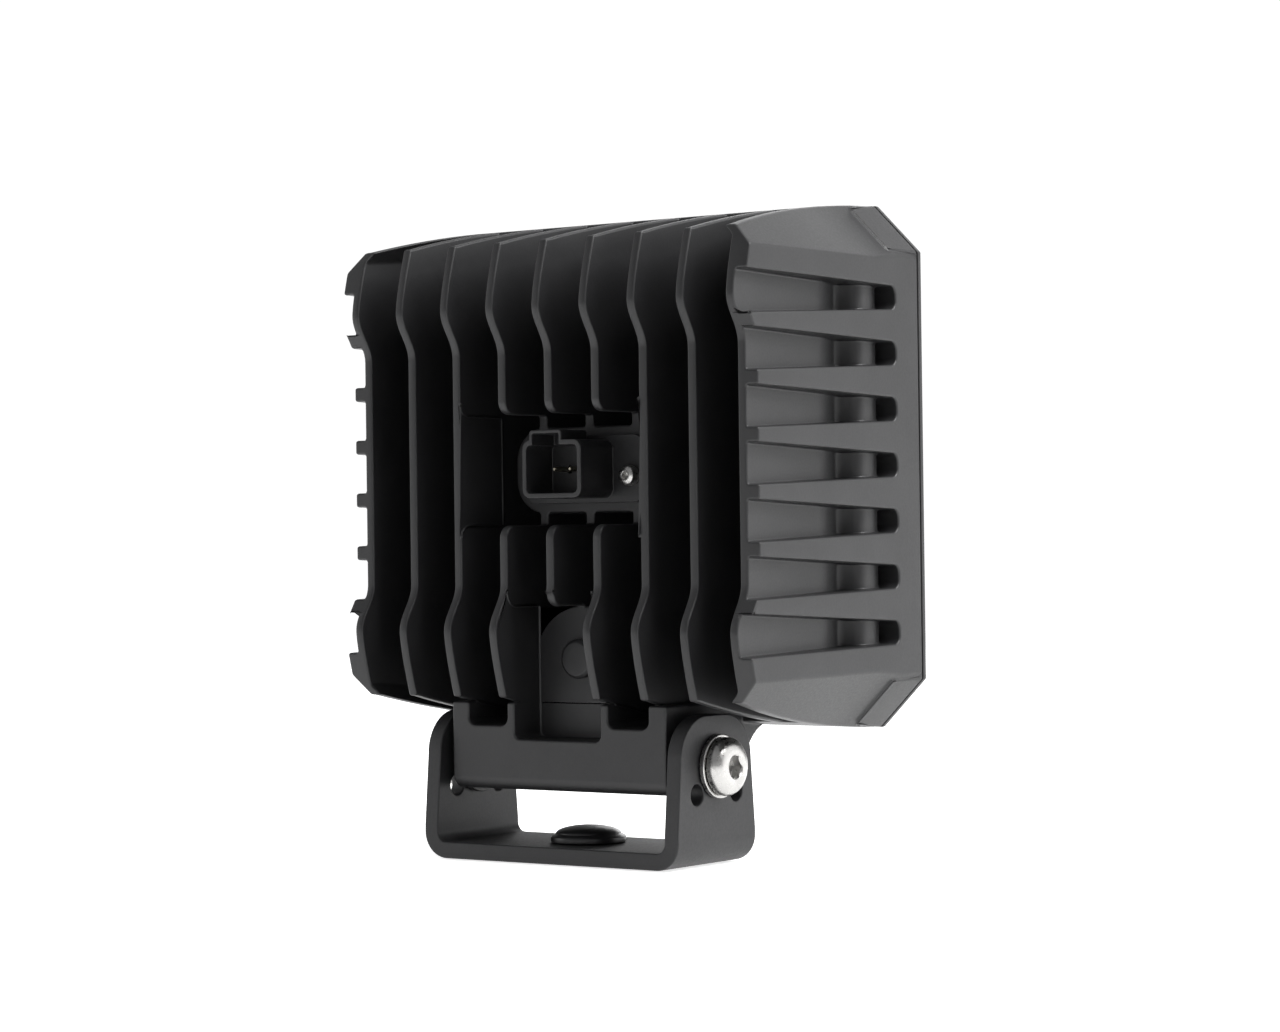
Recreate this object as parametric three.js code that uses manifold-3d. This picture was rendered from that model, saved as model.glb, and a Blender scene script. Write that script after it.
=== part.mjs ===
// Square LED fog and work light on a U-bracket: a die-cast finned housing with a built-in two-pin
// connector at the back, a glass front held by a screwed frame, and a steel bracket to tilt in.
// Millimetres, +Z up, the lens faces -Y. The origin is the centre of the bracket's mounting hole,
// on the underside of its base, straight below the tilt axis.
import * as THREE from "three";
import { mergeVertices } from "three/addons/utils/BufferGeometryUtils.js";
import Module from "manifold-3d";

const wasm = await Module();
wasm.setup();

// ---- driving dimensions -------------------------------------------------------------------
// Housing. Depths run forward from the backs of the fins, so a depth d lies at y = -d.
const frontSize = 159.5; // width and height of the front rim
const frontChamfer = 15; // corner cut of the front rim
const housingDepth = 81.4; // fin backs to the face of the rim
const sideFlare = 4.25; // the back is narrower than the rim by this on each side
const topFlare = 11.35; // and lower by this at top and bottom
const rimDepth = 14.5;
const rimDraft = 1.8; // the rim is smaller by this at its rear edge
const rearCornerCut = 21.7; // corner cut at the fin backs, which grows less towards the rim
const cornerFlare = 3.6; // by this much
const finDepth = 42;
const finTip = 2.8; // fin thickness at the back edge
const finRoot = 3.6; // and where it meets the chamber
const gapsPerSide = 4; // fin gaps from the middle to each side wall
const chamberFloor = 4.5;
const sideWall = 5.4;
const cornerWall = 4; // closes the outer fin gaps at the cut corners, as a change of |x| + |z|
// Back edges of the fins: flat in the middle, bulging back above and below.
const flatHalf = 34.4;
const bulgeHeight = 49;
const bulge = 5.8;
const cornerBulge = 1.2;
// Slots in the two sides, open at the back.
const slotsPerSide = 7;
const ribDepth = 4.1;
const slotPitchBack = 16.4;
const slotPitchFront = 16.75;
const slotHeightBack = 12.1;
const slotHeightFront = 6.8;
const slotLength = 69;
// Pocket in the middle of the back, with the connector in it.
const pocketHalfHeight = 16.7;
const pocketFlare = 4;
const padDepth = 20.5; // depth of the raised pad that the connector is screwed to
const padWidth = 56;
const padHeight = 26;
const ventBossDepth = 15.5;
const ventBossTop = -41;
// Block under the housing that the pivot bolts screw into, from the tilt axis.
const axisBelowRim = 8.35; // tilt axis below the bottom edge of the rim
const axisDrop = frontSize / 2 + axisBelowRim; // and below the middle of the housing
const axisDepth = 17.7; // and forward of the fin backs
const blockBelowAxis = 8.3;
const blockBack = 2.6;
const blockFront = 46.5;
// Front: glass, gasket, frame.
const rimLand = 9.25; // from the outside of the rim to the lens pocket
const cornerLand = 14; // the same across the cut corners, as a change of |x| + |z|
const lensThickness = 4;
const gasketThickness = 1.2;
const frameThickness = 3.4;
const frameEdge = 1.6;
const frameOverlap = 4.5; // of the frame over the glass
// Optics.
const cellsPerSide = 3;
const boardThickness = 2;
const padThickness = 1;
const driverRoom = 13.7; // for the parts on the driver board, in their bay
// Connector.
const shellWidth = 22;
const shellHeight = 17.4;
const shellWall = 1.5;
const shellRadius = 2.8;
const mouthDepth = 1.5; // the mouth lies this far in from the fin backs
const socketDepth = 13;
const keyWidth = 12;
const keyHeight = 3;
const keyOffset = 2.2;
const pinPitch = 5.8;
const pinRadius = 0.8;
const flangeThickness = 1.6;
const flangeScrewSpacing = 36;
const flangeScrewDrop = 2.2; // below the middle of the connector
// Bracket.
const plate = 5;
const earOffset = 1.15; // the ears stand this far outside the middle of the third fin gap
const baseWidth = 40;
const earWidth = 36.2;
const earTop = 15.1; // above the tilt axis
const earCornerRadius = 13;
const axisHeight = 29.4; // tilt axis above the underside of the base
const bendInner = 3; // inside radius of the bends
const mountingHoleRadius = 5.5;
const sideHoleRadius = 3.15;
const sideHoleSpacing = 20.1;
const sideHoleDrop = 7.8;
// Pivot fasteners, M10 with button heads.
const boltRadius = 5;
const boltLength = 24;
const headRadius = 8.6;
const headHeight = 4.7;
const hexAcross = 6;
const washerRadius = 9.4;
const washerThickness = 1.6;
// Clearances.
const gap = 0.3; // between pieces that touch
const frictionWasher = 1.8;

// ---- derived places -----------------------------------------------------------------------
const frontHalf = frontSize / 2;
const backHalfWidth = frontHalf - sideFlare;
const backHalfHeight = frontHalf - topFlare;
const slotFloor = backHalfWidth - ribDepth; // outer face of the side walls
const finPitch = (slotFloor - finTip / 2) / gapsPerSide;
const earInner = 2.5 * finPitch - plate / 2 + earOffset;
const blockHalfWidth = earInner - frictionWasher - 2 * gap;
const chamberHalf = slotFloor - sideWall;
const chamberBack = finDepth + chamberFloor;
const pocketHalfWidth = 2 * finPitch - finTip / 2;
const lensPocketHalf = frontHalf - rimLand;
const cornerSum = 2 * frontHalf - frontChamfer; // |x| + |z| along the rim's cut corners
const lensPocketSum = cornerSum - cornerLand;
const pivotY = -axisDepth;
const pivotZ = -axisDrop;
const bendOuter = bendInner + plate;
const segments = 20;
const flareSteps = 6; // straight lengths that the flare is drawn with

// ---- geometry helpers ---------------------------------------------------------------------
function toSolid(geometry) {
  const bare = geometry.index ? geometry.toNonIndexed() : geometry.clone();
  bare.deleteAttribute("normal");
  bare.deleteAttribute("uv");
  const merged = mergeVertices(bare, 1e-4);
  return new wasm.Manifold(
    new wasm.Mesh({
      numProp: 3,
      vertProperties: new Float32Array(merged.attributes.position.array),
      triVerts: new Uint32Array(merged.index.array),
    }),
  );
}

function toGeometry(solid) {
  const data = solid.getMesh();
  const geometry = new THREE.BufferGeometry();
  geometry.setAttribute("position", new THREE.BufferAttribute(data.vertProperties, 3));
  geometry.setIndex(new THREE.BufferAttribute(data.triVerts, 1));
  geometry.computeVertexNormals();
  return geometry;
}

const join = (solids) => solids.reduce((a, b) => a.add(b));
const cut = (solid, cutters) => cutters.reduce((a, b) => a.subtract(b), solid);

function extrude(shape, length) {
  return new THREE.ExtrudeGeometry(shape, { depth: length, bevelEnabled: false, curveSegments: 5 });
}

// An outline in x and z, running forward from depth d0 to d1.
function alongY(shape, d0, d1) {
  const g = extrude(shape, d1 - d0);
  g.rotateX(Math.PI / 2);
  g.translate(0, -d0, 0);
  return toSolid(g);
}

// An outline in y and z, running from x0 to x1.
function alongX(shape, x0, x1) {
  const g = extrude(shape, x1 - x0);
  const turn = new THREE.Matrix4().makeBasis(
    new THREE.Vector3(0, 1, 0),
    new THREE.Vector3(0, 0, 1),
    new THREE.Vector3(1, 0, 0),
  );
  g.applyMatrix4(turn);
  g.translate(x0, 0, 0);
  return toSolid(g);
}

// An outline in x and y, running from z0 to z1.
function alongZ(shape, z0, z1) {
  const g = extrude(shape, z1 - z0);
  g.translate(0, 0, z0);
  return toSolid(g);
}

function outline(points) {
  return new THREE.Shape(points.map(([a, b]) => new THREE.Vector2(a, b)));
}

function rectangle(width, height, radius = 0, x = 0, y = 0) {
  const s = new THREE.Shape();
  const r = Math.max(radius, 0);
  const [x0, x1, y0, y1] = [x - width / 2, x + width / 2, y - height / 2, y + height / 2];
  if (r === 0) return outline([[x0, y0], [x1, y0], [x1, y1], [x0, y1]]);
  s.moveTo(x0 + r, y0);
  s.lineTo(x1 - r, y0);
  s.absarc(x1 - r, y0 + r, r, -Math.PI / 2, 0, false);
  s.lineTo(x1, y1 - r);
  s.absarc(x1 - r, y1 - r, r, 0, Math.PI / 2, false);
  s.lineTo(x0 + r, y1);
  s.absarc(x0 + r, y1 - r, r, Math.PI / 2, Math.PI, false);
  s.lineTo(x0, y0 + r);
  s.absarc(x0 + r, y0 + r, r, Math.PI, 1.5 * Math.PI, false);
  return s;
}

function box(x0, x1, d0, d1, z0, z1) {
  const g = new THREE.BoxGeometry(x1 - x0, d1 - d0, z1 - z0);
  g.translate((x0 + x1) / 2, -(d0 + d1) / 2, (z0 + z1) / 2);
  return toSolid(g);
}

// A square with cut corners: half the side, and |x| + |z| along the cuts.
function chamferedSquare(half, sum) {
  const c = sum - half;
  return outline([
    [half, -c], [half, c], [c, half], [-c, half],
    [-half, c], [-half, -c], [-c, -half], [c, -half],
  ]);
}

// A turned piece: [radius, height] points from the axis, out and back to the axis, going up.
function turned(profile, sides = segments) {
  const g = new THREE.LatheGeometry(
    profile.map(([r, h]) => new THREE.Vector2(r, h)),
    sides,
  );
  return toSolid(g);
}

function cylinder(radius, height, sides = segments) {
  return turned([[0, 0], [radius, 0], [radius, height], [0, height]], sides);
}

// Turned pieces stand along +y. These lay them in place.
const ALONG_X = new THREE.Matrix4().makeRotationZ(-Math.PI / 2);
const ALONG_MINUS_X = new THREE.Matrix4().makeRotationZ(Math.PI / 2);
const ALONG_Z = new THREE.Matrix4().makeRotationX(Math.PI / 2);
const FORWARD = new THREE.Matrix4().makeRotationX(Math.PI);
const BACKWARD = new THREE.Matrix4();

function placed(solid, turn, x, y, z) {
  const m = new THREE.Matrix4().makeTranslation(x, y, z).multiply(turn);
  return solid.transform(m.toArray());
}

// ---- scene graph --------------------------------------------------------------------------
const finishes = {
  castBlack: new THREE.MeshStandardMaterial({ color: 0x2a2a2c, roughness: 0.55, metalness: 0.4 }),
  steelBlack: new THREE.MeshStandardMaterial({ color: 0x141416, roughness: 0.6, metalness: 0.3 }),
  stainless: new THREE.MeshStandardMaterial({ color: 0xc8c8c6, roughness: 0.25, metalness: 1 }),
  blackPlastic: new THREE.MeshStandardMaterial({ color: 0x0c0c0d, roughness: 0.5, metalness: 0 }),
  rubber: new THREE.MeshStandardMaterial({ color: 0x1a1a1a, roughness: 0.9, metalness: 0 }),
  glass: new THREE.MeshStandardMaterial({
    color: 0xf2f6f7, roughness: 0.05, metalness: 0, transparent: true, opacity: 0.35,
  }),
  mirror: new THREE.MeshStandardMaterial({ color: 0xe8e8ea, roughness: 0.08, metalness: 1 }),
  board: new THREE.MeshStandardMaterial({ color: 0xe9e9e4, roughness: 0.5, metalness: 0 }),
  greenBoard: new THREE.MeshStandardMaterial({ color: 0x1d4a2c, roughness: 0.5, metalness: 0 }),
  phosphor: new THREE.MeshStandardMaterial({ color: 0xe7c93a, roughness: 0.4, metalness: 0 }),
  brass: new THREE.MeshStandardMaterial({ color: 0xc9a24a, roughness: 0.3, metalness: 1 }),
  greyPad: new THREE.MeshStandardMaterial({ color: 0x8d9096, roughness: 0.9, metalness: 0 }),
  ferrite: new THREE.MeshStandardMaterial({ color: 0x2e2d2c, roughness: 0.8, metalness: 0 }),
  redWire: new THREE.MeshStandardMaterial({ color: 0x9c1f1a, roughness: 0.5, metalness: 0 }),
  blackWire: new THREE.MeshStandardMaterial({ color: 0x111111, roughness: 0.5, metalness: 0 }),
};

const root = new THREE.Group();
const lamp = new THREE.Group(); // its origin is the middle of the plane of the fin backs
lamp.position.set(0, axisDepth, axisHeight + axisDrop);
const bracket = new THREE.Group();
root.add(lamp, bracket);

function addPiece(group, name, solid, material) {
  const mesh = new THREE.Mesh(toGeometry(solid), material);
  mesh.name = name;
  group.add(mesh);
}

// ---- housing ------------------------------------------------------------------------------
// How far a surface has flared out at a depth: fast at the back, level at the rim.
const flareReach = housingDepth * 1.17;
const flared = (d) => (1 - (1 - Math.max(d, 0) / flareReach) ** 2) / (1 - (1 - 1 / 1.17) ** 2);

function bulgeAt(z) {
  const a = Math.abs(z);
  if (a <= flatHalf) return 0;
  if (a <= bulgeHeight) {
    const t = (a - flatHalf) / (bulgeHeight - flatHalf);
    return (bulge * (1 - Math.cos(Math.PI * Math.min(t * 1.04, 1)))) / 2;
  }
  const t = (a - bulgeHeight) / (backHalfHeight - bulgeHeight);
  return bulge - (bulge - cornerBulge) * t ** 1.35;
}

function sideOutline() {
  const steps = 5;
  const upper = [];
  for (let i = 0; i <= steps; i++) {
    const z = flatHalf + ((bulgeHeight - flatHalf) * i) / steps;
    upper.push([bulgeAt(z), z]);
  }
  for (let i = 1; i <= 3; i++) {
    const z = bulgeHeight + ((backHalfHeight - bulgeHeight) * i) / 3;
    upper.push([bulgeAt(z), z]);
  }
  for (let i = 0; i <= flareSteps; i++) {
    const d = (housingDepth * i) / flareSteps;
    upper.push([-d, backHalfHeight + topFlare * flared(d)]);
  }
  return outline([...upper, ...upper.map(([y, z]) => [y, -z]).reverse()]);
}

function planOutline() {
  const side = [[bulge + 1, backHalfWidth]];
  for (let i = 0; i <= flareSteps; i++) {
    const d = (housingDepth * i) / flareSteps;
    side.push([-d, backHalfWidth + sideFlare * flared(d)]);
  }
  return outline([...side.map(([y, x]) => [-x, y]).reverse(), ...side.map(([y, x]) => [x, y])].reverse());
}

// Four-sided turned body: |x| + |z| follows the given values at each depth, or, turned an
// eighth, |x| and |z| do.
function fourSided(profile, square) {
  const grow = square ? Math.SQRT2 : 1;
  const points = profile.map(([d, r]) => new THREE.Vector2(r * grow, d));
  const first = new THREE.Vector2(0, profile[0][0]);
  const last = new THREE.Vector2(0, profile[profile.length - 1][0]);
  const g = new THREE.LatheGeometry([first, ...points, last], 4, square ? Math.PI / 4 : 0);
  return placed(toSolid(g), FORWARD, 0, 0, 0);
}

function cornerTrim(wall) {
  const rear = 2 * frontHalf - rearCornerCut - wall;
  const profile = [[-bulge - 1, rear]];
  for (let i = 0; i <= flareSteps; i++) {
    const d = (housingDepth * i) / flareSteps;
    profile.push([d, rear + cornerFlare * flared(d)]);
  }
  return fourSided(profile, false);
}

function rim() {
  const rear = housingDepth - rimDepth;
  const square = fourSided([[rear, frontHalf - rimDraft], [housingDepth, frontHalf]], true);
  const corners = fourSided([[rear, cornerSum - rimDraft], [housingDepth, cornerSum]], false);
  return square.intersect(corners);
}

function finGaps() {
  const overshoot = bulge + 2;
  const over = 2 * frontHalf;
  const gaps = [];
  for (let i = 0; i < 2 * gapsPerSide; i++) {
    const x = (i - gapsPerSide + 0.5) * finPitch;
    const halfBack = (finPitch - finTip) / 2;
    const halfRoot = (finPitch - finRoot) / 2;
    const shape = outline([
      [x - halfRoot, -finDepth], [x + halfRoot, -finDepth],
      [x + halfBack, overshoot], [x - halfBack, overshoot],
    ]);
    gaps.push(alongZ(shape, -over, over).intersect(cornerTrim(cornerWall)));
  }
  return gaps;
}

// The flared recess that interrupts the three middle fins.
function connectorPocket() {
  const shape = new THREE.Shape();
  const h = pocketHalfHeight;
  const out = h + pocketFlare;
  shape.moveTo(bulge + 2, out);
  shape.lineTo(0, out);
  shape.absarc(-pocketFlare, out, pocketFlare, 0, -Math.PI / 2, true);
  shape.lineTo(-padDepth, h);
  shape.lineTo(-padDepth, -h);
  shape.lineTo(-pocketFlare, -h);
  shape.absarc(-pocketFlare, -out, pocketFlare, Math.PI / 2, 0, true);
  shape.lineTo(bulge + 2, -out);
  return alongX(shape, -pocketHalfWidth, pocketHalfWidth);
}

// Below the pocket the middle fin stops short above the vent boss.
function lowerPocket() {
  const half = finPitch - finTip / 2;
  const shape = new THREE.Shape();
  const r = pocketFlare;
  shape.moveTo(bulge + 2, ventBossTop + r);
  shape.lineTo(0, ventBossTop + r);
  shape.absarc(-r, ventBossTop + r, r, 0, -Math.PI / 2, true);
  shape.lineTo(-ventBossDepth, ventBossTop);
  shape.lineTo(-ventBossDepth, -2 * frontHalf);
  shape.lineTo(bulge + 2, -2 * frontHalf);
  return alongX(shape, -half, half);
}

function ventBoss() {
  const half = finPitch - finTip / 2 + gap;
  const shape = new THREE.Shape();
  shape.moveTo(-half, -backHalfHeight - 6);
  shape.lineTo(half, -backHalfHeight - 6);
  shape.lineTo(half, ventBossTop - half);
  shape.absarc(0, ventBossTop - half, half, 0, Math.PI, false);
  return alongY(shape, ventBossDepth, finDepth + 1);
}

function sideSlots() {
  const outer = frontHalf + 5;
  const back = bulge + 2;
  const round = slotHeightFront / 2 - 0.6;
  const middle = (slotsPerSide - 1) / 2;
  const slotAt = (n) => {
    const slope = (slotHeightFront - slotHeightBack) / 2 / slotLength;
    const centre = (d) => n * (slotPitchBack + ((slotPitchFront - slotPitchBack) * d) / slotLength);
    const half = (d) => slotHeightBack / 2 + slope * d;
    const end = slotLength - round;
    const s = new THREE.Shape();
    s.moveTo(back, centre(-back) + half(-back));
    s.lineTo(back, centre(-back) - half(-back));
    s.lineTo(-end, centre(end) - half(end));
    s.absarc(-end, centre(end) - half(end) + round, round, -Math.PI / 2, -Math.PI, true);
    s.absarc(-end, centre(end) + half(end) - round, round, Math.PI, Math.PI / 2, true);
    return s;
  };
  const slots = [];
  for (let i = 0; i < slotsPerSide; i++) slots.push(alongX(slotAt(i - middle), -outer, outer));
  // The slot floors run level past the fins, dip, and swell before the rim.
  const floor = [
    [-back, 0], [0.56, 0], [0.64, -1], [0.7, -2.4], [0.74, -3.1], [0.765, -2.6], [0.81, 2.4],
    [0.85, 3.4], [0.92, 3.3], [0.96, 2.2], [1, 0], [1.2, 0],
  ].map(([share, rise]) => [slotFloor + rise, share <= 0 ? back : -share * slotLength]);
  const core = outline([...floor, ...floor.map(([x, y]) => [-x, y]).reverse()].reverse());
  const over = 2 * frontHalf;
  return join(slots).subtract(alongZ(core, -over, over));
}

// The pivot block's side view, from the tilt axis.
function pivotBlock() {
  const z0 = pivotZ - blockBelowAxis;
  const top = -backHalfHeight - 1.6;
  const r = 4;
  const s = new THREE.Shape();
  s.moveTo(-blockBack, top);
  s.lineTo(-blockBack, z0 + r);
  s.absarc(-blockBack - r, z0 + r, r, 0, -Math.PI / 2, true);
  s.lineTo(pivotY - 11.5, z0);
  s.lineTo(pivotY - 15.3, z0 + 2.4);
  s.lineTo(-blockFront + 0.6, pivotZ + 4.4);
  s.lineTo(-blockFront - 1.4, pivotZ + 6.8);
  s.lineTo(-blockFront - 4, pivotZ + 8.6);
  s.lineTo(-blockFront - 8, -frontHalf + 3);
  s.lineTo(-blockFront - 8, top);
  const block = alongX(s, -blockHalfWidth, blockHalfWidth);
  const inner = finPitch - finTip / 2;
  const outer = pocketHalfWidth;
  const open = -backHalfHeight + 8;
  return cut(block, [
    box(-inner, inner, -bulge, ventBossDepth, pivotZ + 7.1, open),
    box(inner + finTip, outer, -bulge, 30, pivotZ + 11.1, open),
    box(-outer, -inner - finTip, -bulge, 30, pivotZ + 11.1, open),
  ]);
}

// Screw places.
const frameScrews = [];
const landMiddle = frontHalf - rimLand / 2;
const cornerMiddle = (cornerSum + lensPocketSum) / 4;
for (const sx of [-1, 0, 1]) {
  for (const sz of [-1, 0, 1]) {
    if (sx === 0 && sz === 0) continue;
    const reach = sx !== 0 && sz !== 0 ? cornerMiddle : landMiddle;
    frameScrews.push([sx * reach, sz * reach]);
  }
}
const reflectorPitch = (2 * chamberHalf - 6) / cellsPerSide;
const boardScrews = [];
for (const sx of [-1, 1]) {
  for (const sz of [-1, 1]) {
    boardScrews.push([(sx * reflectorPitch) / 2, (sz * reflectorPitch) / 2]);
  }
}
const m4 = { shank: 2, head: 3.9, sink: 2.2, length: 9 };
const m3 = { shank: 1.5, head: 2.8, headHeight: 2, length: 6 };
const flangeScrew = { shank: 1.7, head: 3.1, headHeight: 3.2, length: 7 };

const shellBackDepth = padDepth - 2 * gap - 0.8; // back of the connector flange
const gasketDepth = housingDepth - gap - lensThickness - gap - gasketThickness;
const ledgeDepth = gasketDepth - gap;
const bayHalfWidth = padWidth / 2 - 5;
const bayHalfHeight = padHeight / 2 - 3.2;
const driverDepth = chamberBack - 4;
const driverFace = driverDepth - gap;
const bayDepth = driverFace - driverRoom;
const leadHole = 3;
const ventHoleRadius = 3;
const ventZ = ventBossTop - finPitch + finTip / 2;

function housing() {
  const body = alongX(sideOutline(), -frontHalf, frontHalf)
    .intersect(alongZ(planOutline(), -2 * frontHalf, 2 * frontHalf))
    .intersect(cornerTrim(0));
  const finned = cut(body, [...finGaps(), connectorPocket(), lowerPocket()]);
  const pad = alongY(rectangle(padWidth, padHeight, 10), padDepth, finDepth + 1);
  const whole = join([finned, rim(), pad, ventBoss(), pivotBlock()]);
  const chamberSum = 2 * chamberHalf - 8;
  const cutters = [
    sideSlots(),
    alongY(chamferedSquare(chamberHalf, chamberSum), chamberBack, housingDepth + 1),
    alongY(chamferedSquare(lensPocketHalf, lensPocketSum), ledgeDepth, housingDepth + 1),
    box(-bayHalfWidth, bayHalfWidth, bayDepth, chamberBack + 1, -bayHalfHeight, bayHalfHeight),
    box(-pinPitch, pinPitch, padDepth - 1, bayDepth + 1, -leadHole, leadHole),
    placed(cylinder(ventHoleRadius, chamberBack + 2 - ventBossDepth, 16), FORWARD,
      0, -ventBossDepth + 1, ventZ),
  ];
  for (const [x, z] of frameScrews) {
    cutters.push(placed(cylinder(m4.shank + gap, m4.length, 12), BACKWARD, x, -housingDepth - 1 + 0.001, z));
  }
  for (const [x, z] of boardScrews) {
    cutters.push(placed(cylinder(m3.shank + gap, 4.5, 12), BACKWARD, x, -chamberBack - 1, z));
  }
  for (const s of [-1, 1]) {
    const x = (s * flangeScrewSpacing) / 2;
    cutters.push(placed(cylinder(flangeScrew.shank + gap, flangeScrew.length, 12), FORWARD,
      x, -padDepth + 1, -flangeScrewDrop));
    const turn = s > 0 ? ALONG_MINUS_X : ALONG_X;
    const reach = boltLength - (earInner + plate - blockHalfWidth) + 2;
    cutters.push(placed(cylinder(boltRadius + gap, reach, 24), turn, s * (blockHalfWidth + 1), pivotY, pivotZ));
  }
  return cut(whole, cutters);
}
addPiece(lamp, "housing", housing(), finishes.castBlack);

// ---- front ----------------------------------------------------------------------------------
const frameBack = housingDepth + gap;
const frameOpening = lensPocketHalf - frameOverlap;

function frontFrame() {
  const inset = frameThickness - frameEdge;
  const front = frameBack + frameThickness;
  const edge = frameBack + frameEdge;
  const square = fourSided([[frameBack, frontHalf], [edge, frontHalf], [front, frontHalf - inset]], true);
  const corners = fourSided([[frameBack, cornerSum], [edge, cornerSum], [front, cornerSum - inset]], false);
  const opening = alongY(chamferedSquare(frameOpening, lensPocketSum - 8), frameBack - 1, front + 1);
  const holes = frameScrews.map(([x, z]) =>
    placed(
      turned([
        [0, 0], [m4.head + gap, 0], [m4.head + gap, 1.2], [m4.shank + gap, 1.2 + m4.sink],
        [m4.shank + gap, 6], [0, 6],
      ], 16),
      BACKWARD, x, -front - 0.2, z,
    ),
  );
  return cut(square.intersect(corners), [opening, ...holes]);
}
addPiece(lamp, "front_frame", frontFrame(), finishes.castBlack);

const lensBack = gasketDepth + gasketThickness + gap;
addPiece(
  lamp, "lens",
  alongY(chamferedSquare(lensPocketHalf - gap, lensPocketSum - gap), lensBack, lensBack + lensThickness),
  finishes.glass,
);

function lensGasket() {
  const outer = alongY(chamferedSquare(lensPocketHalf - gap, lensPocketSum - gap),
    gasketDepth, gasketDepth + gasketThickness);
  const inner = alongY(chamferedSquare(chamberHalf + 0.6, 2 * chamberHalf - 8),
    gasketDepth - 1, gasketDepth + gasketThickness + 1);
  return outer.subtract(inner);
}
addPiece(lamp, "lens_gasket", lensGasket(), finishes.rubber);

// A countersunk screw with a six-lobe socket drawn as a hexagon; its head faces the front.
function countersunkScrew() {
  const s = m4;
  const body = turned([
    [0, 0], [s.head, 0], [s.head, 0.3], [s.shank, 0.3 + s.sink], [s.shank, s.length], [0, s.length],
  ], 16);
  return body.subtract(cylinder(1.6, 1.5, 6).translate([0, -0.2, 0]));
}
frameScrews.forEach(([x, z], i) => {
  const y = -(frameBack + frameThickness) + 0.7;
  addPiece(lamp, `frame_screw_${i + 1}`, placed(countersunkScrew(), BACKWARD, x, y, z), finishes.stainless);
});

// ---- light source -----------------------------------------------------------------------------
const thermalPadDepth = chamberBack + gap;
const boardDepth = thermalPadDepth + padThickness + gap;
const ledDepth = boardDepth + boardThickness + gap;
const boardHalf = chamberHalf - 1;
const boardSum = 2 * chamberHalf - 10;

function flatSheet(d0, thickness, half, sum) {
  const holes = boardScrews.map(([x, z]) =>
    placed(cylinder(m3.shank + gap, thickness + 2, 12), FORWARD, x, -d0 + 1, z));
  const leads = box(-6, 6, d0 - 1, d0 + thickness + 1, reflectorPitch / 2 - 3, reflectorPitch / 2 + 3);
  return cut(alongY(chamferedSquare(half, sum), d0, d0 + thickness), [...holes, leads]);
}
addPiece(lamp, "thermal_pad", flatSheet(thermalPadDepth, padThickness, boardHalf - 1, boardSum - 2), finishes.greyPad);
addPiece(lamp, "led_board", flatSheet(boardDepth, boardThickness, boardHalf, boardSum), finishes.board);

const cells = [];
for (let row = 0; row < cellsPerSide; row++) {
  for (let column = 0; column < cellsPerSide; column++) {
    const middle = (cellsPerSide - 1) / 2;
    cells.push([(column - middle) * reflectorPitch, (middle - row) * reflectorPitch]);
  }
}

// A square ceramic base with a low dome on it.
function ledEmitter() {
  const base = alongY(rectangle(6, 6), 0, 0.9);
  const dome = placed(turned([[0, 0], [2.5, 0], [2.1, 1.2], [1.1, 1.9], [0, 2.1]], 12), FORWARD, 0, -0.8, 0);
  return base.add(dome);
}
cells.forEach(([x, z], i) => {
  addPiece(lamp, `led_emitter_${i + 1}`, ledEmitter().translate([x, -ledDepth, z]), finishes.phosphor);
});

const reflectorBack = ledDepth + 1.4;
const reflectorFront = ledgeDepth - 1;
const cupRadius = reflectorPitch / 2 - 1;
const cupMouth = 4.2;

// One bowl wall, a parabola from the LED to the front plate, opened front and back.
function bowl(grow) {
  const steps = 4;
  const length = reflectorFront - reflectorBack;
  const points = [[0, -grow]];
  for (let i = 0; i <= steps; i++) {
    const t = i / steps;
    const r = cupMouth + (cupRadius - cupMouth) * Math.sqrt(t);
    points.push([r + grow, length * t + (i === 0 ? -grow : 0) + (i === steps ? grow : 0)]);
  }
  points.push([0, length + grow]);
  return turned(points, 16);
}

function reflectorArray() {
  const sheet = alongY(chamferedSquare(boardHalf - 0.5, boardSum), reflectorFront - 1.5, reflectorFront);
  const outsides = cells.map(([x, z]) => placed(bowl(1.1), FORWARD, x, -reflectorBack, z));
  const trim = box(-boardHalf, boardHalf, reflectorBack, reflectorFront, -boardHalf, boardHalf);
  const insides = cells.map(([x, z]) => placed(bowl(0.01), FORWARD, x, -reflectorBack, z));
  return cut(join([sheet, ...outsides]).intersect(trim), insides);
}
addPiece(lamp, "reflector_array", reflectorArray(), finishes.mirror);

// Pan head screw; the head faces the front.
function panScrew(s) {
  const body = turned([
    [0, 0], [s.head * 0.8, 0], [s.head, s.headHeight * 0.4], [s.head, s.headHeight],
    [s.shank, s.headHeight], [s.shank, s.headHeight + s.length], [0, s.headHeight + s.length],
  ], 14);
  return body.subtract(cylinder(s.shank * 0.75, s.headHeight * 0.6, 6).translate([0, -0.01, 0]));
}
boardScrews.forEach(([x, z], i) => {
  const y = -(boardDepth + boardThickness + gap + m3.headHeight);
  addPiece(lamp, `board_screw_${i + 1}`, placed(panScrew(m3), BACKWARD, x, y, z), finishes.stainless);
});

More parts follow.
